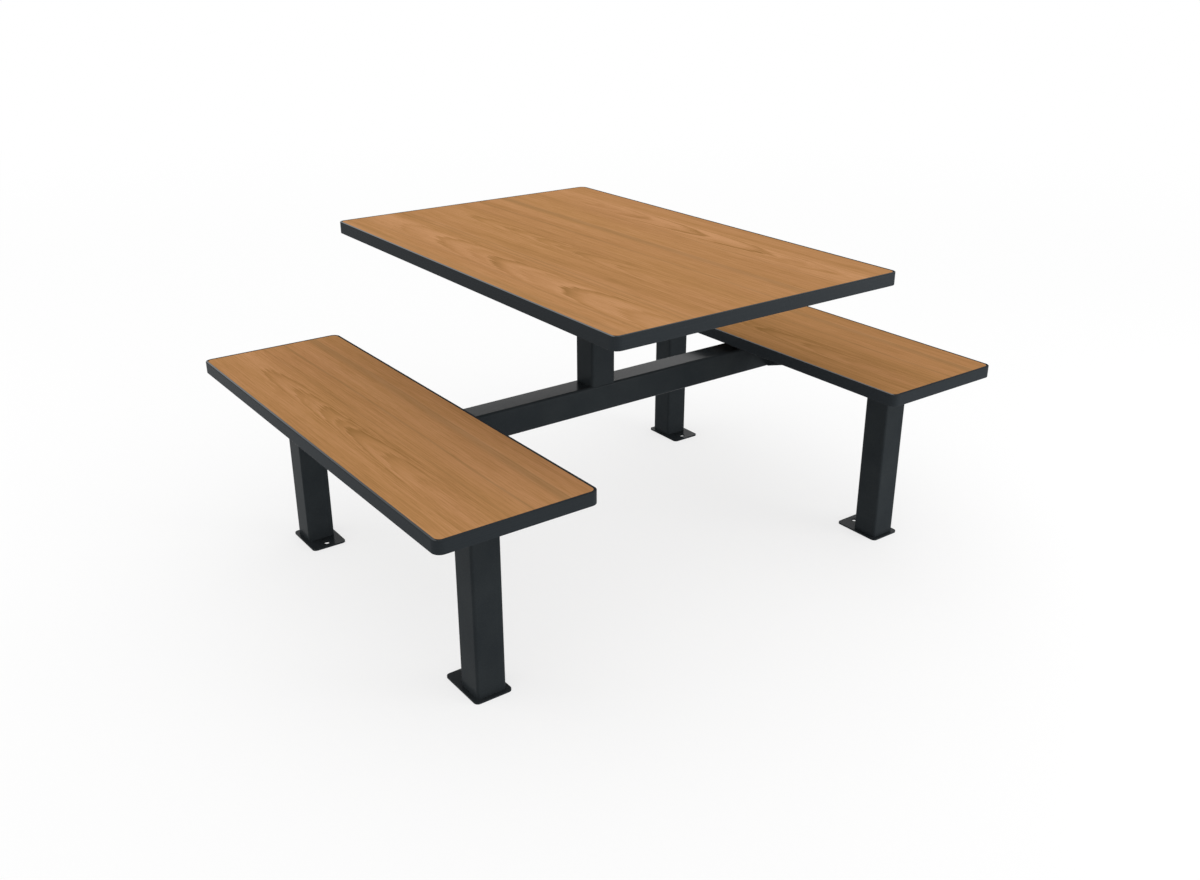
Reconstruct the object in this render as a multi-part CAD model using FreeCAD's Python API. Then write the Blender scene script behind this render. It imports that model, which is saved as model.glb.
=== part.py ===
"""Table with two integrated benches on a bolted frame of square tube, in millimetres.

X runs across the unit from the left bench to the right bench.
Y runs along the boards from the near end to the far end, and Z is up.
The origin is on the floor, under the middle of the table.
"""
import FreeCAD
import Part
import os

# Boards
TABLE_LENGTH = 1145.0
TABLE_WIDTH = 750.0
TABLE_HEIGHT = 745.0
BENCH_LENGTH = 1145.0
BENCH_WIDTH = 345.0
SEAT_HEIGHT = 457.0
BENCH_GAP = 30.0
CORE_THICKNESS = 26.0
LAMINATE_THICKNESS = 1.0
BOARD_CORNER_RADIUS = 18.0

# Knock-in edging: a band with a barbed tongue that sits in a groove round the core
EDGING_WIDTH = 6.0
EDGING_ARRIS = 1.0
TONGUE_DEPTH = 10.0
TONGUE_THICKNESS = 2.4
BARB_COUNT = 2
BARB_WIDTH = 1.2
BARB_HEIGHT = 0.3
GROOVE_CLEARANCE = 0.1

# Square tube of the beam, the post and the legs
TUBE_SIZE = 67.0
TUBE_WALL = 3.0
TUBE_RADIUS = 6.0

# Smaller square tube of the bench rails and the table rail
RAIL_SIZE = 50.0
RAIL_WALL = 3.0
RAIL_RADIUS = 5.0

# Bench stands
LEG_INSET = 130.0
BASE_MARGIN = 9.5
BASE_TAIL = 48.0
BASE_THICKNESS = 4.0
BASE_CORNER_RADIUS = 10.0
FLOOR_HOLE_DIAMETER = 14.0
FLOOR_HOLE_SETBACK = 20.0
SEAT_PLATE_SETBACK = 32.5
SEAT_PLATE_THICKNESS = 5.0
SEAT_PLATE_CORNER_RADIUS = 8.0
SEAT_SCREW_SETBACK = 25.0
SEAT_SCREW_PITCH = 36.0

# Centre stand
BEAM_DROP = 12.5
POST_FOOT_DROP = 1.0
END_PLATE_THICKNESS = 8.0
END_PLATE_WING = 56.5
END_PLATE_TAPER = 18.0
END_PLATE_CORNER_RADIUS = 6.0
HEAD_PLATE_MARGIN = 26.5
HEAD_PLATE_THICKNESS = 5.0
HEAD_PLATE_CORNER_RADIUS = 8.0

# Flat tube of the bearers that carry the table board
BEARER_WIDTH = 50.0
BEARER_HEIGHT = 30.0
BEARER_WALL = 2.5
BEARER_RADIUS = 4.0
BEARER_SETBACK = 75.0
BEARER_INSET = 252.5
TABLE_RAIL_OVERHANG = 20.0
TABLE_SCREW_SETBACKS = (30.0, 210.0)

# Plastic caps of the open tube ends
CAP_FLANGE_THICKNESS = 3.0
CAP_PLUG_DEPTH = 14.0
CAP_CLEARANCE = 0.2

# Bolts of the beam joint
BOLT_DIAMETER = 10.0
BOLT_HOLE_CLEARANCE = 0.5
BOLT_OFFSET = 28.5
BOLT_PROJECTION = 4.0
HEX_WIDTH = 16.0
BOLT_HEAD_HEIGHT = 6.4
NUT_HEIGHT = 8.4
WASHER_DIAMETER = 20.0
WASHER_THICKNESS = 2.0

# Wood screws
SCREW_DIAMETER = 5.0
SCREW_COVER = 10.0
SCREW_POINT_LENGTH = 4.0
SCREW_HEAD_DIAMETER = 10.0
SCREW_HEAD_HEIGHT = 3.0
SCREW_HEAD_CHAMFER = 1.2
SCREW_SOCKET_WIDTH = 4.0
SCREW_SOCKET_DEPTH = 1.8
SCREW_HOLE_CLEARANCE = 0.4
PILOT_CLEARANCE = 0.1

# Least radius of an inner corner, where wall or inset would leave none
SHARP_CORNER_RADIUS = 0.2

# Heights and places that follow from the sizes above
BOARD_THICKNESS = CORE_THICKNESS + 2 * LAMINATE_THICKNESS
SEAT_UNDERSIDE = SEAT_HEIGHT - BOARD_THICKNESS
SEAT_PLATE_UNDERSIDE = SEAT_UNDERSIDE - SEAT_PLATE_THICKNESS
TABLE_UNDERSIDE = TABLE_HEIGHT - BOARD_THICKNESS
BENCH_X = TABLE_WIDTH / 2 + BENCH_GAP + BENCH_WIDTH / 2
LEG_Y = BENCH_LENGTH / 2 - LEG_INSET - TUBE_SIZE / 2
LEG_INNER_Y = LEG_Y - TUBE_SIZE / 2
RAIL_Z = SEAT_PLATE_UNDERSIDE - RAIL_SIZE / 2
RAIL_INNER_X = BENCH_X - RAIL_SIZE / 2
RAIL_OUTER_X = BENCH_X + RAIL_SIZE / 2
BEAM_END_X = RAIL_INNER_X - END_PLATE_THICKNESS
BEAM_TOP = SEAT_PLATE_UNDERSIDE - BEAM_DROP
BEAM_BOTTOM = BEAM_TOP - TUBE_SIZE
BOLT_Y = TUBE_SIZE / 2 + BOLT_OFFSET
BEARER_Y = TABLE_LENGTH / 2 - BEARER_INSET
BEARER_LENGTH = TABLE_WIDTH - 2 * BEARER_SETBACK
BEARER_UNDERSIDE = TABLE_UNDERSIDE - BEARER_HEIGHT
TABLE_RAIL_LENGTH = 2 * BEARER_Y + BEARER_WIDTH + 2 * TABLE_RAIL_OVERHANG
HEAD_PLATE_TOP = BEARER_UNDERSIDE - RAIL_SIZE
POST_TOP = HEAD_PLATE_TOP - HEAD_PLATE_THICKNESS
SEAT_PLATE_LENGTH = BENCH_WIDTH - 2 * SEAT_PLATE_SETBACK
SEAT_PLATE_YS = {"near": -LEG_Y, "middle": 0.0, "far": LEG_Y}
SIDES = {"left": -1, "right": 1}
ENDS = {"near": -1, "far": 1}

ORIGIN = FreeCAD.Vector(0, 0, 0)
X_AXIS = FreeCAD.Vector(1, 0, 0)
Y_AXIS = FreeCAD.Vector(0, 1, 0)
Z_AXIS = FreeCAD.Vector(0, 0, 1)
QUARTER_TURN = 90
FULL_TURN = 360
HEX_SIDES = 6
FLAT = 1e-6


nodes = {}


def add(name, *solids):
    """Keep one named node: one solid, or a group of like solids."""
    nodes[name] = solids[0] if len(solids) == 1 else Part.makeCompound(list(solids))


def at(x, y, z):
    """Point or offset in the frame of the unit."""
    return FreeCAD.Vector(x, y, z)


def moved(shape, x, y, z):
    """The same shape, shifted."""
    shape.translate(at(x, y, z))
    return shape


# Basic shapes


def rounded_block(size_x, size_y, height, radius):
    """Block with round upright edges, standing on the XY plane and centred on the Z axis."""
    block = Part.makeBox(size_x, size_y, height, at(-size_x / 2, -size_y / 2, 0))
    uprights = [edge for edge in block.Edges if edge.BoundBox.ZLength > height / 2]
    return block.makeFillet(max(radius, SHARP_CORNER_RADIUS), uprights)


def upright_tube(size_x, size_y, wall, radius, length):
    """Hollow section, standing on the XY plane and centred on the Z axis."""
    outer = rounded_block(size_x, size_y, length, radius)
    inner = rounded_block(size_x - 2 * wall, size_y - 2 * wall, length, radius - wall)
    return outer.cut(inner)


def along_x(shape, length):
    """Lay an upright shape along X, centred on the origin. Its X size becomes its height."""
    shape.translate(Z_AXIS * (-length / 2))
    shape.rotate(ORIGIN, Y_AXIS, QUARTER_TURN)
    return shape


def along_y(shape, length):
    """Lay an upright shape along Y, centred on the origin. Its Y size becomes its height."""
    shape.translate(Z_AXIS * (-length / 2))
    shape.rotate(ORIGIN, X_AXIS, -QUARTER_TURN)
    return shape


def drilled(shape, radius, depth, starts, direction):
    """Cut like round holes at the given start points."""
    for start in starts:
        shape = shape.cut(Part.makeCylinder(radius, depth, start, direction))
    return shape


def hexagon(width, height):
    """Hexagonal prism of the given width across its flats, standing on the XY plane."""
    corner = X_AXIS * (width / 3 ** 0.5)
    step = FULL_TURN / HEX_SIDES
    corners = [FreeCAD.Rotation(Z_AXIS, step * index).multVec(corner) for index in range(HEX_SIDES + 1)]
    return Part.Face(Part.makePolygon(corners)).extrude(Z_AXIS * height)


def chamfered_hexagon(width, height):
    """Hexagonal prism whose upper corners are turned off at 30 degrees, as on a bolt head."""
    slope = 3 ** 0.5
    cone = Part.makeCone(width / 2 + slope * height, width / 2, height)
    return hexagon(width, height).common(cone)


# Boards


def board_outline(width, length, thickness, inset):
    """Solid of the board's outline, drawn in from its edge by the inset."""
    return rounded_block(width - 2 * inset, length - 2 * inset, thickness, BOARD_CORNER_RADIUS - inset)


def outline_ring(width, length, thickness, outer_inset, inner_inset):
    """Closed strip that follows the board's edge between two insets."""
    outer = board_outline(width, length, thickness, outer_inset)
    return outer.cut(board_outline(width, length, thickness, inner_inset))


def edging(width, length):
    """Edge band with rounded arrises, and a barbed tongue at half its height."""
    band = board_outline(width, length, BOARD_THICKNESS, 0)
    rims = [edge for edge in band.Edges if edge.BoundBox.ZLength < FLAT]
    band = band.makeFillet(EDGING_ARRIS, rims)
    band = band.cut(board_outline(width, length, BOARD_THICKNESS, EDGING_WIDTH))
    tongue_end = EDGING_WIDTH + TONGUE_DEPTH
    tongue = outline_ring(width, length, TONGUE_THICKNESS, EDGING_WIDTH, tongue_end)
    strips = [moved(tongue, 0, 0, (BOARD_THICKNESS - TONGUE_THICKNESS) / 2)]
    barb_thickness = TONGUE_THICKNESS + 2 * BARB_HEIGHT
    for index in range(BARB_COUNT):
        barb_inset = EDGING_WIDTH + TONGUE_DEPTH * (index + 1) / (BARB_COUNT + 1)
        barb = outline_ring(width, length, barb_thickness, barb_inset, barb_inset + BARB_WIDTH)
        strips.append(moved(barb, 0, 0, (BOARD_THICKNESS - barb_thickness) / 2))
    return band.fuse(strips).removeSplitter()


def core(width, length, screw_points):
    """Board core with the groove of the edging and the pilot holes of the screws."""
    groove_height = TONGUE_THICKNESS + 2 * (BARB_HEIGHT + GROOVE_CLEARANCE)
    groove_end = EDGING_WIDTH + TONGUE_DEPTH + GROOVE_CLEARANCE
    groove = outline_ring(width, length, groove_height, EDGING_WIDTH, groove_end)
    panel = board_outline(width, length, CORE_THICKNESS, EDGING_WIDTH)
    panel = panel.cut(moved(groove, 0, 0, (CORE_THICKNESS - groove_height) / 2))
    starts = [at(x, y, 0) for x, y in screw_points]
    return drilled(panel, SCREW_DIAMETER / 2 + PILOT_CLEARANCE, CORE_THICKNESS - SCREW_COVER, starts, Z_AXIS)


def add_board(name, width, length, underside, centre_x, screw_points):
    """Four nodes of one board: edging, core, upper laminate and backing laminate."""
    core_underside = underside + LAMINATE_THICKNESS
    add(name + "_edging", moved(edging(width, length), centre_x, 0, underside))
    add(name + "_core", moved(core(width, length, screw_points), centre_x, 0, core_underside))
    face = board_outline(width, length, LAMINATE_THICKNESS, EDGING_WIDTH)
    add(name + "_laminate", moved(face, centre_x, 0, core_underside + CORE_THICKNESS))
    backer = board_outline(width, length, LAMINATE_THICKNESS, EDGING_WIDTH)
    starts = [at(x, y, 0) for x, y in screw_points]
    backer = drilled(backer, SCREW_DIAMETER / 2 + PILOT_CLEARANCE, LAMINATE_THICKNESS, starts, Z_AXIS)
    add(name + "_backer", moved(backer, centre_x, 0, underside))


# Fasteners


def wood_screw(grip):
    """Screw that points up, with the seat of its head on the XY plane."""
    radius = SCREW_DIAMETER / 2
    head_radius = SCREW_HEAD_DIAMETER / 2
    tip = grip + LAMINATE_THICKNESS + CORE_THICKNESS - SCREW_COVER
    crown = -SCREW_HEAD_HEIGHT
    head = [(0, crown), (head_radius - SCREW_HEAD_CHAMFER, crown), (head_radius, crown + SCREW_HEAD_CHAMFER),
            (head_radius, 0)]
    shank = [(radius, 0), (radius, tip - SCREW_POINT_LENGTH), (0, tip)]
    profile = [at(x, 0, z) for x, z in head + shank + head[:1]]
    solid = Part.Face(Part.makePolygon(profile)).revolve(ORIGIN, Z_AXIS, FULL_TURN)
    return solid.cut(moved(hexagon(SCREW_SOCKET_WIDTH, SCREW_SOCKET_DEPTH), 0, 0, crown))


def screw_group(grip, seat, centre_x, screw_points):
    """Like screws at the given places, with their heads under the seat height."""
    return [moved(wood_screw(grip), centre_x + x, y, seat) for x, y in screw_points]


def bolt_point(side, end, x):
    """Point on the axis of one bolt of the beam joint."""
    return at(side * x, end * BOLT_Y, RAIL_Z)


def laid_outward(shape, side, end, x):
    """Turn an upright fastener to point away from the table, and place it on its bolt axis."""
    shape.rotate(ORIGIN, Y_AXIS, side * QUARTER_TURN)
    shape.translate(bolt_point(side, end, x))
    return shape


def hex_bolt():
    """Bolt with its head below the XY plane and its shank above."""
    grip = END_PLATE_THICKNESS + RAIL_SIZE + 2 * WASHER_THICKNESS
    shank = Part.makeCylinder(BOLT_DIAMETER / 2, grip + NUT_HEIGHT + BOLT_PROJECTION)
    head = chamfered_hexagon(HEX_WIDTH, BOLT_HEAD_HEIGHT)
    head.rotate(ORIGIN, X_AXIS, 2 * QUARTER_TURN)
    return shank.fuse(head).removeSplitter()


def hex_nut():
    """Nut standing on the XY plane."""
    return chamfered_hexagon(HEX_WIDTH, NUT_HEIGHT).cut(Part.makeCylinder(BOLT_DIAMETER / 2, NUT_HEIGHT))


def washer():
    """Flat washer standing on the XY plane."""
    disc = Part.makeCylinder(WASHER_DIAMETER / 2, WASHER_THICKNESS)
    return disc.cut(Part.makeCylinder(BOLT_DIAMETER / 2 + BOLT_HOLE_CLEARANCE, WASHER_THICKNESS))


def add_beam_fasteners():
    """Bolts, washers and nuts that hold the beam between the bench rails."""
    bolts = []
    washers = []
    nuts = []
    for side in SIDES.values():
        for end in ENDS.values():
            head_seat = BEAM_END_X - WASHER_THICKNESS
            bolts.append(laid_outward(hex_bolt(), side, end, head_seat))
            washers.append(laid_outward(washer(), side, end, head_seat))
            washers.append(laid_outward(washer(), side, end, RAIL_OUTER_X))
            nuts.append(laid_outward(hex_nut(), side, end, RAIL_OUTER_X + WASHER_THICKNESS))
    add("beam_bolts", *bolts)
    add("beam_washers", *washers)
    add("beam_nuts", *nuts)


# Bench stands


def base_plate(side, end):
    """Floor plate of one leg, longer towards the middle of the bench, where its floor hole is."""
    inner = LEG_INNER_Y - BASE_TAIL
    outer = LEG_Y + TUBE_SIZE / 2 + BASE_MARGIN
    plate = rounded_block(TUBE_SIZE + 2 * BASE_MARGIN, outer - inner, BASE_THICKNESS, BASE_CORNER_RADIUS)
    plate = moved(plate, side * BENCH_X, end * (inner + outer) / 2, 0)
    hole = at(side * BENCH_X, end * (inner + FLOOR_HOLE_SETBACK), 0)
    return drilled(plate, FLOOR_HOLE_DIAMETER / 2, BASE_THICKNESS, [hole], Z_AXIS)


def leg(side, end):
    """Upright square tube from its base plate to its seat plate."""
    tube = upright_tube(TUBE_SIZE, TUBE_SIZE, TUBE_WALL, TUBE_RADIUS, SEAT_PLATE_UNDERSIDE - BASE_THICKNESS)
    return moved(tube, side * BENCH_X, end * LEG_Y, BASE_THICKNESS)


def bench_rail(side):
    """Tube between the two legs of a bench, drilled right through for the bolts of the beam."""
    length = 2 * LEG_INNER_Y
    rail = along_y(upright_tube(RAIL_SIZE, RAIL_SIZE, RAIL_WALL, RAIL_RADIUS, length), length)
    rail = moved(rail, side * BENCH_X, 0, RAIL_Z)
    starts = [bolt_point(side, end, RAIL_INNER_X) for end in ENDS.values()]
    return drilled(rail, BOLT_DIAMETER / 2 + BOLT_HOLE_CLEARANCE, RAIL_SIZE, starts, X_AXIS * side)


def seat_screw_points(plate_y):
    """Places of the four screws of one seat plate, from the middle of the bench."""
    reach = SEAT_PLATE_LENGTH / 2 - SEAT_SCREW_SETBACK
    rows = [plate_y + end * SEAT_SCREW_PITCH / 2 for end in ENDS.values()]
    return [(side * reach, y) for side in SIDES.values() for y in rows]


def seat_plate(side, plate_y):
    """Flat plate across a bench, as wide as the legs, that carries the seat board."""
    plate = rounded_block(SEAT_PLATE_LENGTH, TUBE_SIZE, SEAT_PLATE_THICKNESS, SEAT_PLATE_CORNER_RADIUS)
    plate = moved(plate, side * BENCH_X, plate_y, SEAT_PLATE_UNDERSIDE)
    starts = [at(side * BENCH_X + x, y, SEAT_PLATE_UNDERSIDE) for x, y in seat_screw_points(plate_y)]
    return drilled(plate, SCREW_DIAMETER / 2 + SCREW_HOLE_CLEARANCE, SEAT_PLATE_THICKNESS, starts, Z_AXIS)


def add_bench(name, side):
    """Board and stand of one bench."""
    screw_points = []
    for place, plate_y in SEAT_PLATE_YS.items():
        add(name + "_seat_plate_" + place, seat_plate(side, plate_y))
        screw_points += seat_screw_points(plate_y)
    add_board(name + "_bench", BENCH_WIDTH, BENCH_LENGTH, SEAT_UNDERSIDE, side * BENCH_X, screw_points)
    screws = screw_group(SEAT_PLATE_THICKNESS, SEAT_PLATE_UNDERSIDE, side * BENCH_X, screw_points)
    add(name + "_bench_screws", *screws)
    add(name + "_bench_rail", bench_rail(side))
    for place, end in ENDS.items():
        add(name + "_leg_" + place, leg(side, end))
        add(name + "_base_plate_" + place, base_plate(side, end))


# Centre stand


def cross_beam():
    """Tube that joins the two bench stands and carries the post."""
    length = 2 * BEAM_END_X
    tube = along_x(upright_tube(TUBE_SIZE, TUBE_SIZE, TUBE_WALL, TUBE_RADIUS, length), length)
    return moved(tube, 0, 0, BEAM_TOP - TUBE_SIZE / 2)


def table_post():
    """Post whose foot is cut to the round corners of the beam, with a weld groove left outside."""
    foot = BEAM_TOP - POST_FOOT_DROP
    post = upright_tube(TUBE_SIZE, TUBE_SIZE, TUBE_WALL, TUBE_RADIUS, POST_TOP - foot)
    beam_length = 2 * TUBE_SIZE
    beam = along_x(rounded_block(TUBE_SIZE, TUBE_SIZE, beam_length, TUBE_RADIUS), beam_length)
    return moved(post, 0, 0, foot).cut(moved(beam, 0, 0, BEAM_TOP - TUBE_SIZE / 2))


def beam_end_plate(side):
    """Plate on the end of the beam, with lower corners that taper up to its bolted wings."""
    half_beam = TUBE_SIZE / 2
    half_plate = half_beam + END_PLATE_WING
    wing_bottom = BEAM_BOTTOM + END_PLATE_TAPER
    inner_x = side * BEAM_END_X
    outline = [(half_beam, BEAM_BOTTOM), (half_plate, wing_bottom), (half_plate, SEAT_PLATE_UNDERSIDE)]
    outline += [(-y, z) for y, z in reversed(outline)]
    corners = [at(inner_x, y, z) for y, z in outline + outline[:1]]
    plate = Part.Face(Part.makePolygon(corners)).extrude(X_AXIS * (side * END_PLATE_THICKNESS))
    across = [edge for edge in plate.Edges if edge.BoundBox.XLength > END_PLATE_THICKNESS / 2]
    wing_edges = [edge for edge in across if abs(edge.CenterOfMass.y) > half_beam + FLAT]
    plate = plate.makeFillet(END_PLATE_CORNER_RADIUS, wing_edges)
    starts = [bolt_point(side, end, BEAM_END_X) for end in ENDS.values()]
    return drilled(plate, BOLT_DIAMETER / 2 + BOLT_HOLE_CLEARANCE, END_PLATE_THICKNESS, starts, X_AXIS * side)


def tube_cap(size_x, size_y, wall, radius):
    """Push-in cap: a flange on the XY plane, and a plug below it that fits the tube."""
    flange = rounded_block(size_x, size_y, CAP_FLANGE_THICKNESS, radius)
    draw_in = 2 * (wall + CAP_CLEARANCE)
    plug = rounded_block(size_x - draw_in, size_y - draw_in, CAP_PLUG_DEPTH, radius - draw_in / 2)
    return flange.fuse(moved(plug, 0, 0, -CAP_PLUG_DEPTH)).removeSplitter()


def table_rail():
    """Tube along the table, on the head plate of the post."""
    tube = upright_tube(RAIL_SIZE, RAIL_SIZE, RAIL_WALL, RAIL_RADIUS, TABLE_RAIL_LENGTH)
    return moved(along_y(tube, TABLE_RAIL_LENGTH), 0, 0, BEARER_UNDERSIDE - RAIL_SIZE / 2)


def table_screw_points(end):
    """Places of the screws of one table bearer."""
    reaches = [BEARER_LENGTH / 2 - setback for setback in TABLE_SCREW_SETBACKS]
    return [(side * reach, end * BEARER_Y) for reach in reaches for side in SIDES.values()]


def table_bearer(end):
    """Flat tube across the table, drilled right through for its screws."""
    tube = upright_tube(BEARER_HEIGHT, BEARER_WIDTH, BEARER_WALL, BEARER_RADIUS, BEARER_LENGTH)
    bearer = moved(along_x(tube, BEARER_LENGTH), 0, end * BEARER_Y, BEARER_UNDERSIDE + BEARER_HEIGHT / 2)
    starts = [at(x, y, BEARER_UNDERSIDE) for x, y in table_screw_points(end)]
    return drilled(bearer, SCREW_DIAMETER / 2 + SCREW_HOLE_CLEARANCE, BEARER_HEIGHT, starts, Z_AXIS)


def add_caps():
    """Caps of the table rail and of the two bearers."""
    rail_caps = []
    for end in ENDS.values():
        cap = tube_cap(RAIL_SIZE, RAIL_SIZE, RAIL_WALL, RAIL_RADIUS)
        cap.rotate(ORIGIN, X_AXIS, -end * QUARTER_TURN)
        rail_caps.append(moved(cap, 0, end * TABLE_RAIL_LENGTH / 2, BEARER_UNDERSIDE - RAIL_SIZE / 2))
    add("table_rail_caps", *rail_caps)
    bearer_caps = []
    for side in SIDES.values():
        for end in ENDS.values():
            cap = tube_cap(BEARER_HEIGHT, BEARER_WIDTH, BEARER_WALL, BEARER_RADIUS)
            cap.rotate(ORIGIN, Y_AXIS, side * QUARTER_TURN)
            middle_z = BEARER_UNDERSIDE + BEARER_HEIGHT / 2
            bearer_caps.append(moved(cap, side * BEARER_LENGTH / 2, end * BEARER_Y, middle_z))
    add("table_bearer_caps", *bearer_caps)


def add_centre():
    """Beam, post and table."""
    add("cross_beam", cross_beam())
    add("table_post", table_post())
    for name, side in SIDES.items():
        add(name + "_beam_end_plate", beam_end_plate(side))
    head_size = TUBE_SIZE + 2 * HEAD_PLATE_MARGIN
    head = rounded_block(head_size, head_size, HEAD_PLATE_THICKNESS, HEAD_PLATE_CORNER_RADIUS)
    add("post_head_plate", moved(head, 0, 0, POST_TOP))
    add("table_rail", table_rail())
    screw_points = []
    for name, end in ENDS.items():
        add("table_bearer_" + name, table_bearer(end))
        screw_points += table_screw_points(end)
    add_caps()
    add_board("table", TABLE_WIDTH, TABLE_LENGTH, TABLE_UNDERSIDE, 0, screw_points)
    add("table_screws", *screw_group(BEARER_HEIGHT, BEARER_UNDERSIDE, 0, screw_points))


add_centre()
for side_name, side_sign in SIDES.items():
    add_bench(side_name, side_sign)
add_beam_fasteners()

os.makedirs("parts", exist_ok=True)
for node_name, shape in nodes.items():
    shape.exportStep(os.path.join("parts", node_name + ".step"))
    print(node_name, len(shape.Solids), "solids, valid:", shape.isValid())
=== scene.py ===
"""Looks of the table with two integrated benches: finishes, studio and camera, in metres."""
import math

import bpy
from mathutils import Color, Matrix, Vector


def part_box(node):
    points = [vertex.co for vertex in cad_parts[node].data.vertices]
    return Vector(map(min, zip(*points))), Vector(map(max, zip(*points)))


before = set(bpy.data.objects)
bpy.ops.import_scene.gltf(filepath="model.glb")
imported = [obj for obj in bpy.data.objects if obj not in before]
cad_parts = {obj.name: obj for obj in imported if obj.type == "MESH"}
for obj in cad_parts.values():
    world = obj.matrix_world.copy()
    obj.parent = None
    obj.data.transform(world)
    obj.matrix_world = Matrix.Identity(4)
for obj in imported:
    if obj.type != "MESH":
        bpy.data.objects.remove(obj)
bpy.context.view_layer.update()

# Camera, fitted to the photograph's frame of 1200 by 880 pixels: lens in millimetres, angles in degrees
CAMERA_PLACE = (-1.5496, -2.1298, 1.3885)
CAMERA_LENS = 34.945
CAMERA_YAW = 36.275
CAMERA_PITCH = 23.268

# Studio: colours as display bytes, where the floor turns all white, and each lamp's place, size and power
FULL_BYTE = 255
WHITE = (255, 255, 255)
WORLD_LIGHT = 0.95
FLOOR_REACH = 60.0
FLOOR_COLOUR = (254, 254, 254)
FLOOR_GLOW = 0.7
FLOOR_FADE = (2.5, 7.0)
LAMP_AIM = (0.0, 0.0, 0.4)
LAMPS = {
    "key": ((2.0, -2.6, 0.4), (1.4, 0.7), 42.0),
    "side": ((-3.4, 2.0, 0.6), (2.0, 1.2), 15.0),
    "panel": ((2.6, 3.6, 2.6), (5.0, 3.0), 100.0),
}

# Detail and roughness of the noises
SOFT_DETAIL = 2.0
SOFT_ROUGHNESS = 0.5
FINE_DETAIL = 3.0
FINE_ROUGHNESS = 0.6

# Gloss of a finish that sets none of its own
USUAL_GLOSS = 0.5

# Wood laminate: display colours, gloss, range of roughness, and relief in metres, as for each finish below
WOOD_DARK = (150, 110, 64)
WOOD_OLIVE = (181, 134, 82)
WOOD_ROSE = (184, 133, 91)
WOOD_LIGHT = (204, 152, 108)
WOOD_STREAK = (150, 116, 76)
WOOD_GLOSS = 0.0
WOOD_ROUGHNESS = (0.42, 0.55)
WOOD_RELIEF = 0.00006

# Strength of the figure on each board, and how much lighter than the rest its sheet is; the right bench's
# darker sheet is partly its own tone and partly painted shade for weaker light on that side
BOARDS = {
    "table_laminate": {"strength": 1.15, "tone_and_painted_shade": 0.02},
    "left_bench_laminate": {"strength": 1.5, "tone_and_painted_shade": 0.0},
    "right_bench_laminate": {"strength": 1.5, "tone_and_painted_shade": -0.1},
}

# Leaves of the wood figure: each one's centre from the middle line of a board, the way it points along Y,
# how steeply its rings leave their points and run straight, how light it is inside,
# and the apex and depth of each ring
LEAVES = (
    {"centre": -0.260, "points": 1, "slope": 1.5, "flare": 30000, "light": 0.14,
     "rings": ((-0.43, 0.16), (-0.243, 0.42), (-0.09, 0.1), (0.037, 0.46), (0.13, 0.14), (0.277, 0.3),
               (0.45, 0.14))},
    {"centre": -0.075, "points": 1, "slope": 2.6, "flare": 260000, "light": -0.02,
     "rings": ((-0.30, 0.06), (-0.17, 0.12), (-0.01, 0.26), (0.06, 0.14), (0.155, 0.22), (0.275, 0.16),
               (0.427, 0.18))},
    {"centre": 0.260, "points": -1, "slope": 1.9, "flare": 110000, "light": 0.18,
     "rings": ((-0.30, 0.1), (-0.112, 0.22), (0.103, 0.46), (0.313, 0.46), (0.423, 0.16), (0.52, 0.2))},
)

# Where one leaf gives way to the next, how round its points are, and how far to the side it keeps its tone
LEAF_EDGES = (-0.175, 0.105)
LEAF_EDGE_SOFTNESS = 0.03
LEAF_TIP = 0.006
LEAF_REACH = (0.02, 0.055)
LEAF_REST = 0.15

# Rings: half the length they lie along, how slowly each darkens and how sharply it ends,
# its tone at the start and at the lip as shares of its depth, and half the span of all tones
RING_REACH = 0.75
RING_FADE = 0.085
RING_EDGE = 0.011
RING_START = 0.2
RING_LIP = 0.5
TONE_SPAN = 0.5

# Fine lines along the rings, bends of the whole figure, fibre, broad streaks, changes of hue, and pores
LINE_RATE = 60.0
LINE_DEPTH = 0.15
SWAY_RATES = (5.0, 1.6, 1.0)
SWAY = 0.010
DRIFT_RATES = (26.0, 3.5, 1.0)
DRIFT = 0.06
FIBRE_RATES = (420.0, 9.0, 1.0)
FIBRE_SHIFT = 0.06
FIBRE_DEPTH = 0.52
BROAD_RATES = (30.0, 0.8, 1.0)
BROAD_DEPTH = 0.34
HUE_RATES = (9.0, 1.8, 1.0)
PORE_RATES = (1100.0, 24.0, 1.0)
PORE_DETAIL = 1.0
PORE_LIMITS = (0.6, 0.74)
PORE_DEPTH = 0.42

# Long straight bands of the wood: place from the middle line, half width and depth
BANDS = (
    (-0.350, 0.014, 0.6), (-0.308, 0.005, 0.5), (-0.202, 0.005, 0.8),
    (-0.187, 0.005, 0.8), (-0.020, 0.004, 0.4), (0.031, 0.005, 0.9),
    (0.104, 0.018, 0.8), (0.112, 0.003, 0.7), (0.205, 0.004, 0.5),
)
BAND_RATES = (3.0, 1.2, 1.0)

# Backing laminate
BACKER_DARK = (74, 54, 38)
BACKER_LIGHT = (98, 73, 52)
BACKER_LIMITS = (0.2, 0.8)
BACKER_GLOSS = 0.3
BACKER_ROUGHNESS = (0.5, 0.68)
BACKER_RELIEF = 0.00008
BACKER_FIBRE_RATES = (160.0, 5.0, 1.0)
BACKER_FIBRE_DEPTH = 0.4
BACKER_CLOUD_RATES = (9.0, 3.0, 1.0)

# Core of the boards
CORE_DARK = (150, 116, 76)
CORE_LIGHT = (206, 172, 124)
CORE_LIMITS = (0.15, 0.85)
CORE_GLOSS = 0.2
CORE_ROUGHNESS = (0.75, 0.95)
CORE_RELIEF = 0.0003
FLAKE_RATE = 240.0
FLAKE_SHARE = 0.7
DUST_RATES = (900.0, 900.0, 900.0)
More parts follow.
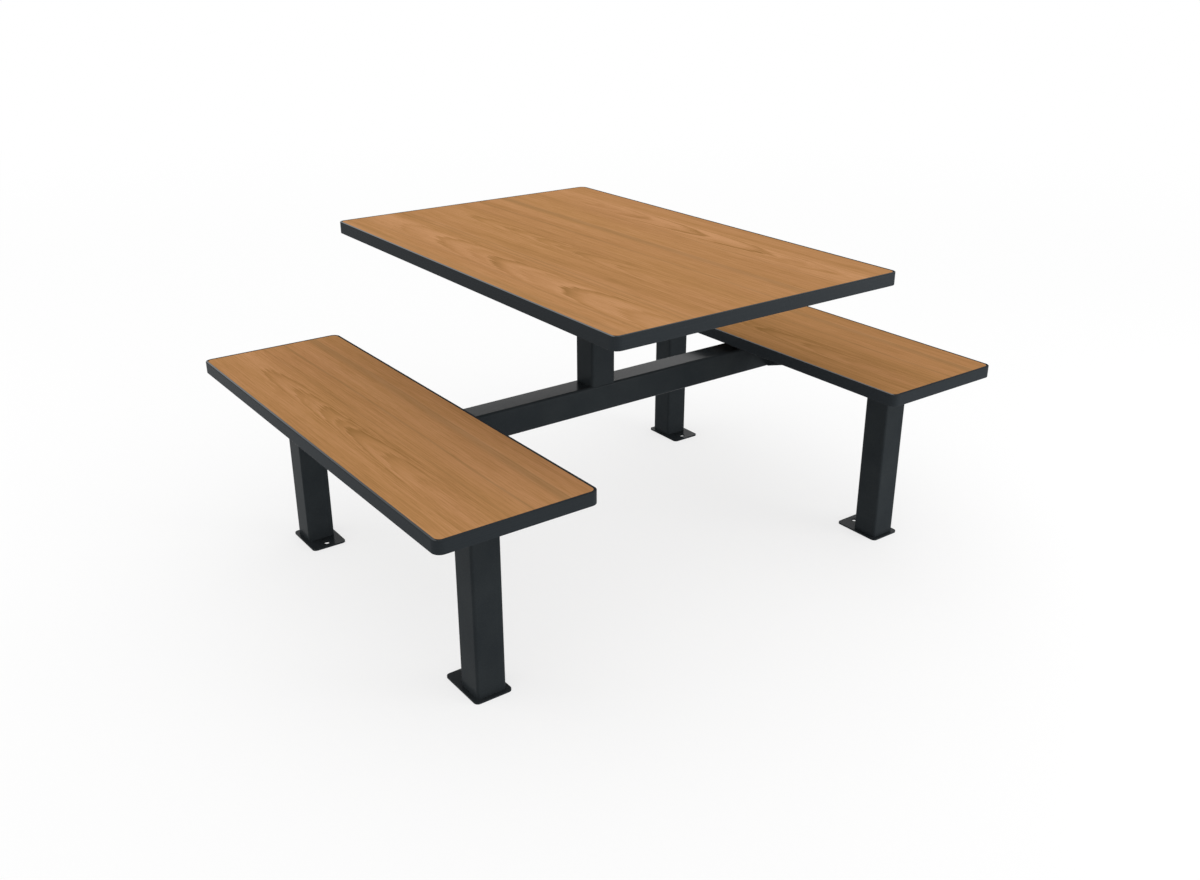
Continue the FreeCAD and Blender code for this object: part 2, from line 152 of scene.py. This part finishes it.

# Edging: its top is trimmed matt, and its lip beside the wood has a painted highlight on the left and near
# sides
EDGING_DARK = (38, 42, 45)
EDGING_LIGHT = (45, 49, 52)
EDGING_LIMITS = (0.3, 0.7)
EDGING_GLOSS = 0.012
EDGING_ROUGHNESS = (0.2, 0.3)
EDGING_RELIEF = 0.00003
EXTRUSION_RATES = (2.0, 2.0, 1400.0)
EXTRUSION_SHARE = 0.6
SPECKLE_RATES = (700.0, 700.0, 700.0)
TRIM_UPWARD = (0.6, 0.9)
TRIM_ROUGHNESS = 0.9
LIP_HIGHLIGHT = (150, 152, 153)
HIGHLIGHT_START = (0.0005, 0.002)
HIGHLIGHT_END = (0.005, 0.0065)

# How strong the painted highlight on the lip is: at the near and the far end of the left side, and all along
# the near side
LIP_HIGHLIGHTS = {
    "table_edging": {"left": (0.55, 0.8), "near": 0.18},
    "left_bench_edging": {"left": (0.22, 0.65), "near": 0.03},
    "right_bench_edging": {"left": (0.6, 0.6), "near": 0.05},
}

# Powder coat of the frame
PAINT_DARK = (36, 40, 43)
PAINT_LIGHT = (43, 47, 49)
PAINT_LIMITS = (0.35, 0.65)
PAINT_GLOSS = 0.016
PAINT_ROUGHNESS = (0.14, 0.24)
PAINT_RELIEF = 0.00006
PEEL_RATES = (420.0, 420.0, 420.0)
PEEL_SHARE = 0.5
PAINT_CLOUD_RATES = (14.0, 14.0, 14.0)

# Moulded caps
CAP_DARK = (20, 21, 22)
CAP_LIGHT = (27, 28, 29)
CAP_LIMITS = (0.3, 0.7)
CAP_GLOSS = 0.35
CAP_ROUGHNESS = (0.45, 0.6)
CAP_RELIEF = 0.00008
CAP_GRAIN_RATES = (1600.0, 1600.0, 1600.0)

# Zinc plate of the fixings
ZINC_DARK = (170, 172, 174)
ZINC_LIGHT = (205, 207, 209)
ZINC_LIMITS = (0.3, 0.7)
ZINC_ROUGHNESS = (0.28, 0.46)
ZINC_RELIEF = 0.00004
SPANGLE_RATES = (500.0, 500.0, 500.0)


def display(colour):
    """Linear colour, with opacity, of a display colour of three bytes."""
    shares = Color([byte / FULL_BYTE for byte in colour])
    return (*shares.from_srgb_to_scene_linear(), 1.0)


class Nodes:
    """Node tree of a material or of the world, with short calls that add nodes to it."""

    def __init__(self, owner):
        owner.use_nodes = True
        self.tree = owner.node_tree

    def node(self, kind, inputs=(), **settings):
        """New node whose inputs are numbers, colours or outputs of other nodes."""
        made = self.tree.nodes.new("ShaderNode" + kind)
        for setting, value in settings.items():
            setattr(made, setting, value)
        for key, value in dict(inputs).items():
            self.join(value, made.inputs[key])
        return made

    def join(self, value, socket):
        """Set a socket to a number or colour, or link it to another node's output."""
        if isinstance(value, bpy.types.NodeSocket):
            self.tree.links.new(value, socket)
        else:
            socket.default_value = value

    def math(self, operation, *values):
        """Result of one sum."""
        return self.node("Math", enumerate(values), operation=operation).outputs[0]

    def smooth(self, value, low, high, start=0.0, end=1.0):
        """Soft step from start to end, as a value goes from low to high."""
        inputs = {"Value": value, "From Min": low, "From Max": high, "To Min": start, "To Max": end}
        return self.node("MapRange", inputs, interpolation_type="SMOOTHSTEP").outputs[0]

    def mixed_shader(self, share, first, second):
        """Mix of two shaders."""
        return self.node("MixShader", enumerate((share, first, second))).outputs[0]


class Finish(Nodes):
    """One procedural material, with short calls for the patterns and mixes that make it."""

    def __init__(self, name, gloss=USUAL_GLOSS, metallic=0.0):
        self.material = bpy.data.materials.new(name)
        super().__init__(self.material)
        self.shader = self.tree.nodes["Principled BSDF"]
        self.join(gloss, self.shader.inputs["Specular IOR Level"])
        self.join(metallic, self.shader.inputs["Metallic"])
        self.place = self.node("TexCoord").outputs["Object"]

    def scaled(self, value, low, high):
        """A value from 0 to 1, spread to the range from low to high."""
        return self.math("MULTIPLY_ADD", value, high - low, low)

    def noise(self, rates, detail=SOFT_DETAIL, roughness=SOFT_ROUGHNESS):
        """Noise with its own rate per metre along each axis."""
        spread = self.node("Mapping", {"Vector": self.place, "Scale": rates})
        inputs = {"Vector": spread.outputs[0], "Scale": 1.0, "Detail": detail, "Roughness": roughness}
        return self.node("TexNoise", inputs).outputs["Fac"]

    def ramp(self, value, stops):
        """Colour along a ramp of (place, linear colour) stops."""
        made = self.node("ValToRGB", {"Fac": value})
        elements = made.color_ramp.elements
        while len(elements) < len(stops):
            elements.new(1.0)
        for element, (place, colour) in zip(elements, stops):
            element.position = place
            element.color = colour
        return made.outputs["Color"]

    def two_tone(self, value, limits, dark, light):
        """Colour between two display colours, as a value goes from one limit to the other."""
        return self.ramp(value, list(zip(limits, (display(dark), display(light)))))

    def blend(self, share, first, second):
        """Mix of two values."""
        inputs = {"Factor": share, "A": first, "B": second}
        return self.node("Mix", inputs).outputs["Result"]

    def tint(self, share, first, second):
        """Mix of two colours."""
        made = self.node("Mix", data_type="RGBA")
        sockets = {socket.identifier: socket for socket in made.inputs}
        self.join(share, sockets["Factor_Float"])
        self.join(first, sockets["A_Color"])
        self.join(second, sockets["B_Color"])
        return next(socket for socket in made.outputs if socket.identifier == "Result_Color")

    def finish(self, colour, roughness, height, depth):
        """Join colour, roughness and a relief of the given depth to the shader."""
        bump = self.node("Bump", {"Height": height, "Distance": depth})
        self.join(colour, self.shader.inputs["Base Color"])
        self.join(roughness, self.shader.inputs["Roughness"])
        self.join(bump.outputs[0], self.shader.inputs["Normal"])
        return self.material


# Wood


def ring_share(place):
    """Place along a leaf as a share of its ramp."""
    return (place + RING_REACH) / (2 * RING_REACH)


def ring_stops(rings):
    """Stops of a tone ramp along a leaf: each ring darkens slowly and ends at a light edge."""
    stops = []
    for apex, depth in sorted(rings):
        tones = {-RING_FADE: depth * RING_START, -RING_EDGE: -depth, RING_EDGE: depth * RING_LIP}
        for offset, tone in tones.items():
            grey = TONE_SPAN + tone
            stops.append((ring_share(apex + offset), (grey, grey, grey, 1.0)))
    return stops


def leaf_tone(look, across, along, leaf, strength):
    """Tone of one leaf, whose rings are drawn out into points."""
    offset = look.math("SUBTRACT", across, leaf["centre"])
    square = look.math("MULTIPLY", offset, offset)
    distance = look.math("SQRT", look.math("ADD", square, LEAF_TIP ** 2))
    flare = look.math("MULTIPLY", look.math("MULTIPLY", square, square), leaf["flare"])
    rise = look.math("MULTIPLY_ADD", distance, leaf["slope"], flare)
    phase = look.math("MULTIPLY_ADD", along, leaf["points"], rise)
    share = look.math("MULTIPLY_ADD", phase, ring_share(1.0) - ring_share(0.0), ring_share(0.0))
    rings = look.math("SUBTRACT", look.ramp(share, ring_stops(leaf["rings"])), TONE_SPAN)
    near = look.smooth(look.math("ABSOLUTE", offset), *LEAF_REACH, 1.0, LEAF_REST)
    main = look.math("MULTIPLY", look.math("MULTIPLY_ADD", rings, strength, leaf["light"]), near)
    inputs = {"W": phase, "Scale": LINE_RATE, "Detail": FINE_DETAIL}
    lines = look.node("TexNoise", inputs, noise_dimensions="1D")
    return look.math("ADD", main, look.scaled(lines.outputs["Fac"], -LINE_DEPTH, LINE_DEPTH))


def figure_tone(look, across, along, strength):
    """Tone of all leaves side by side, each blended into the next."""
    tone = leaf_tone(look, across, along, LEAVES[0], strength)
    for edge, leaf in zip(LEAF_EDGES, LEAVES[1:]):
        share = look.smooth(across, edge - LEAF_EDGE_SOFTNESS, edge + LEAF_EDGE_SOFTNESS)
        tone = look.blend(share, tone, leaf_tone(look, across, along, leaf, strength))
    return tone


def wood_colour(look, tone):
    """Colour from dark, through a middle of varying hue, to light, as the tone rises."""
    middle = look.tint(look.noise(HUE_RATES), display(WOOD_OLIVE), display(WOOD_ROSE))
    colour = look.tint(look.math("MULTIPLY_ADD", tone, 1 / TONE_SPAN, 1.0), display(WOOD_DARK), middle)
    return look.tint(look.math("MULTIPLY", tone, 1 / TONE_SPAN), colour, display(WOOD_LIGHT))


def banded(look, colour, across):
    """A colour with the long straight bands over it, which come and go along the board."""
    fade = look.noise(BAND_RATES)
    for place, half_width, depth in BANDS:
        distance = look.math("ABSOLUTE", look.math("SUBTRACT", across, place))
        share = look.math("MULTIPLY", look.smooth(distance, 0.0, half_width, depth, 0.0), fade)
        colour = look.tint(share, colour, display(WOOD_STREAK))
    return colour


def wood(name, centre_x, strength, tone_and_painted_shade):
    """Matt laminate with a flat-sawn figure of the given strength along the board.

    Its sheet tone is shifted by the given amount, which on the right bench is partly painted shade.
    """
    look = Finish(name, WOOD_GLOSS)
    to_middle = {"Vector": look.place, "Location": (-centre_x, 0.0, 0.0)}
    look.place = look.node("Mapping", to_middle).outputs[0]
    axes = look.node("SeparateXYZ", {"Vector": look.place})
    fibre = look.noise(FIBRE_RATES, FINE_DETAIL, FINE_ROUGHNESS)
    sway = look.scaled(look.noise(SWAY_RATES), -SWAY, SWAY)
    across = look.math("ADD", axes.outputs["X"], sway)
    drift = look.scaled(look.noise(DRIFT_RATES, FINE_DETAIL), -DRIFT, DRIFT)
    shift = look.math("ADD", drift, look.scaled(fibre, -FIBRE_SHIFT, FIBRE_SHIFT))
    along = look.math("ADD", axes.outputs["Y"], shift)
    broad = look.scaled(look.noise(BROAD_RATES, FINE_DETAIL), -BROAD_DEPTH, BROAD_DEPTH)
    # Shift of the whole sheet's tone; on the right bench this is partly painted shade
    grain = look.scaled(fibre, tone_and_painted_shade - FIBRE_DEPTH, tone_and_painted_shade + FIBRE_DEPTH)
    tone = look.math("ADD", figure_tone(look, across, along, strength), look.math("ADD", broad, grain))
    colour = banded(look, wood_colour(look, tone), across)
    pores = look.smooth(look.noise(PORE_RATES, PORE_DETAIL), *PORE_LIMITS)
    colour = look.tint(look.math("MULTIPLY", pores, PORE_DEPTH), colour, display(WOOD_DARK))
    relief = look.math("SUBTRACT", fibre, pores)
    return look.finish(colour, look.scaled(fibre, *WOOD_ROUGHNESS), relief, WOOD_RELIEF)


# Other finishes


def backer(name):
    """Matt brown balancing sheet with a faint fibre."""
    look = Finish(name, BACKER_GLOSS)
    fibre = look.noise(BACKER_FIBRE_RATES, FINE_DETAIL, FINE_ROUGHNESS)
    cloud = look.noise(BACKER_CLOUD_RATES, FINE_DETAIL)
    value = look.math("ADD", look.scaled(fibre, -BACKER_FIBRE_DEPTH, BACKER_FIBRE_DEPTH), cloud)
    colour = look.two_tone(value, BACKER_LIMITS, BACKER_DARK, BACKER_LIGHT)
    return look.finish(colour, look.scaled(fibre, *BACKER_ROUGHNESS), fibre, BACKER_RELIEF)


def chipboard(name):
    """Raw particle board: pressed flakes of several tones."""
    look = Finish(name, CORE_GLOSS)
    flakes = look.node("TexVoronoi", {"Vector": look.place, "Scale": FLAKE_RATE})
    dust = look.noise(DUST_RATES)
    value = look.blend(FLAKE_SHARE, dust, flakes.outputs["Color"])
    colour = look.two_tone(value, CORE_LIMITS, CORE_DARK, CORE_LIGHT)
    return look.finish(colour, look.scaled(dust, *CORE_ROUGHNESS), value, CORE_RELIEF)


def highlight_lip_share(look, inset):
    """1 on the lip of an edging beside the wood, where the painted highlight goes, by the distance in from
    the board's edge.
    """
    start = look.smooth(inset, *HIGHLIGHT_START)
    end = look.smooth(inset, *HIGHLIGHT_END, 1.0, 0.0)
    return look.math("MULTIPLY", start, end)


def edging(name, low, high, highlights):
    """Extruded band with faint lines along its length, trimmed on top, with a painted highlight on the lip
    along two sides.
    """
    look = Finish(name, EDGING_GLOSS)
    lines = look.noise(EXTRUSION_RATES, FINE_DETAIL, FINE_ROUGHNESS)
    value = look.blend(EXTRUSION_SHARE, look.noise(SPECKLE_RATES), lines)
    colour = look.two_tone(value, EDGING_LIMITS, EDGING_DARK, EDGING_LIGHT)
    facing = look.node("SeparateXYZ", {"Vector": look.node("NewGeometry").outputs["Normal"]})
    trimmed = look.smooth(facing.outputs["Z"], *TRIM_UPWARD)
    place = look.node("SeparateXYZ", {"Vector": look.place})
    # Painted highlight: the lip beside the wood is lightened along the left and near sides, not by wear
    left_highlight = look.smooth(place.outputs["Y"], low.y, high.y, *highlights["left"])
    for axis, edge, highlight in (("X", low.x, left_highlight), ("Y", low.y, highlights["near"])):
        inset = look.math("SUBTRACT", place.outputs[axis], edge)
        share = look.math("MULTIPLY", look.math("MULTIPLY", highlight_lip_share(look, inset), highlight), trimmed)
        colour = look.tint(share, colour, display(LIP_HIGHLIGHT))
    roughness = look.blend(trimmed, look.scaled(value, *EDGING_ROUGHNESS), TRIM_ROUGHNESS)
    return look.finish(colour, roughness, value, EDGING_RELIEF)


def powder_coat(name):
    """Satin powder coat: a fine orange peel over slight changes of tone."""
    look = Finish(name, PAINT_GLOSS)
    peel = look.noise(PEEL_RATES)
    value = look.blend(PEEL_SHARE, look.noise(PAINT_CLOUD_RATES, FINE_DETAIL), peel)
    colour = look.two_tone(value, PAINT_LIMITS, PAINT_DARK, PAINT_LIGHT)
    return look.finish(colour, look.scaled(value, *PAINT_ROUGHNESS), peel, PAINT_RELIEF)


def moulded_plastic(name):
    """Moulded cap with a fine spark-eroded grain."""
    look = Finish(name, CAP_GLOSS)
    grain = look.noise(CAP_GRAIN_RATES)
    colour = look.two_tone(grain, CAP_LIMITS, CAP_DARK, CAP_LIGHT)
    return look.finish(colour, look.scaled(grain, *CAP_ROUGHNESS), grain, CAP_RELIEF)


def zinc(name):
    """Zinc-plated steel with a fine spangle."""
    look = Finish(name, metallic=1.0)
    spangle = look.noise(SPANGLE_RATES, FINE_DETAIL)
    colour = look.two_tone(spangle, ZINC_LIMITS, ZINC_DARK, ZINC_LIGHT)
    return look.finish(colour, look.scaled(spangle, *ZINC_ROUGHNESS), spangle, ZINC_RELIEF)


def dress(node, material):
    """Give a node of the frame its finish."""
    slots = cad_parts[node].data.materials
    slots.clear()
    slots.append(material)


def dress_all():
    """Finishes of all nodes, by what each node is."""
    fixing = zinc("zinc_plate")
    by_kind = {
        "core": chipboard("chipboard"),
        "backer": backer("backing_laminate"),
        "caps": moulded_plastic("cap_plastic"),
        "screws": fixing,
        "bolts": fixing,
        "washers": fixing,
        "nuts": fixing,
    }
    paint = powder_coat("frame_powder_coat")
    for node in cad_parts:
        kind = node.rsplit("_", 1)[-1]
        low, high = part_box(node)
        if kind == "laminate":
            dress(node, wood(node + "_wood", (low.x + high.x) / 2, **BOARDS[node]))
        elif kind == "edging":
            dress(node, edging(node + "_plastic", low, high, LIP_HIGHLIGHTS[node]))
        else:
            dress(node, by_kind.get(kind, paint))


# Studio and camera


def seen_directly(nodes):
    """1 for rays that show the background itself: from the camera, and in reflections."""
    path = nodes.node("LightPath")
    share = path.outputs["Is Camera Ray"]
    for kind in ("Is Glossy Ray", "Is Transmission Ray"):
        share = nodes.math("MAXIMUM", share, path.outputs[kind])
    return share


def make_world():
    """Even white light all round, and a plain white background."""
    world = bpy.data.worlds.new("studio")
    bpy.context.scene.world = world
    nodes = Nodes(world)
    light = nodes.tree.nodes["Background"]
    nodes.join(display(WHITE), light.inputs["Color"])
    nodes.join(WORLD_LIGHT, light.inputs["Strength"])
    white = nodes.node("Background", {"Color": display(WHITE), "Strength": 1.0})
    surface = nodes.mixed_shader(seen_directly(nodes), light.outputs[0], white.outputs[0])
    nodes.join(surface, nodes.tree.nodes["World Output"].inputs["Surface"])


def floor_material():
    """Pale matt floor that keeps the shadow, lifted towards white, all white far off, open from below."""
    material = bpy.data.materials.new("studio_floor")
    nodes = Nodes(material)
    nodes.tree.nodes.remove(nodes.tree.nodes["Principled BSDF"])
    matt = nodes.node("BsdfDiffuse", {"Color": display(FLOOR_COLOUR)}).outputs[0]
    glow = nodes.node("Emission", {"Color": display(WHITE), "Strength": 1.0}).outputs[0]
    spot = nodes.node("NewGeometry")
    distance = nodes.node("VectorMath", {0: spot.outputs["Position"]}, operation="LENGTH").outputs["Value"]
    lift = nodes.math("MULTIPLY", seen_directly(nodes), nodes.smooth(distance, *FLOOR_FADE, FLOOR_GLOW, 1.0))
    from_above = nodes.mixed_shader(lift, matt, glow)
    clear = nodes.node("BsdfTransparent").outputs[0]
    surface = nodes.mixed_shader(spot.outputs["Backfacing"], from_above, clear)
    nodes.join(surface, nodes.tree.nodes["Material Output"].inputs["Surface"])
    return material


def make_floor():
    """Wide flat floor under the feet."""
    mesh = bpy.data.meshes.new("studio_floor")
    signs = ((-1, -1), (1, -1), (1, 1), (-1, 1))
    corners = [(sign_x * FLOOR_REACH, sign_y * FLOOR_REACH, 0) for sign_x, sign_y in signs]
    mesh.from_pydata(corners, [], [range(len(corners))])
    mesh.materials.append(floor_material())
    floor = bpy.data.objects.new("studio_floor", mesh)
    bpy.context.scene.collection.objects.link(floor)


def make_lamp(name, place, size, power):
    """Soft rectangular lamp that faces the object and isn't seen itself."""
    data = bpy.data.lights.new(name, "AREA")
    data.shape = "RECTANGLE"
    data.size, data.size_y = size
    data.energy = power
    lamp = bpy.data.objects.new(name, data)
    lamp.location = place
    lamp.rotation_euler = (Vector(LAMP_AIM) - Vector(place)).to_track_quat("-Z", "Y").to_euler()
    lamp.visible_camera = False
    bpy.context.scene.collection.objects.link(lamp)
    return lamp


def make_lamps():
    """Soft low light from the right and the left, and a panel behind that shows only in gloss."""
    lamps = {name: make_lamp(name, *facts) for name, facts in LAMPS.items()}
    lamps["panel"].visible_diffuse = False


def make_camera():
    """Camera at the photograph's place."""
    data = bpy.data.cameras.new("camera")
    data.lens = CAMERA_LENS
    camera = bpy.data.objects.new("camera", data)
    camera.location = CAMERA_PLACE
    camera.rotation_euler = (math.pi / 2 - math.radians(CAMERA_PITCH), 0, -math.radians(CAMERA_YAW))
    bpy.context.scene.collection.objects.link(camera)
    bpy.context.scene.camera = camera


dress_all()
make_world()
make_floor()
make_lamps()
make_camera()
bpy.context.scene.view_settings.view_transform = "Standard"
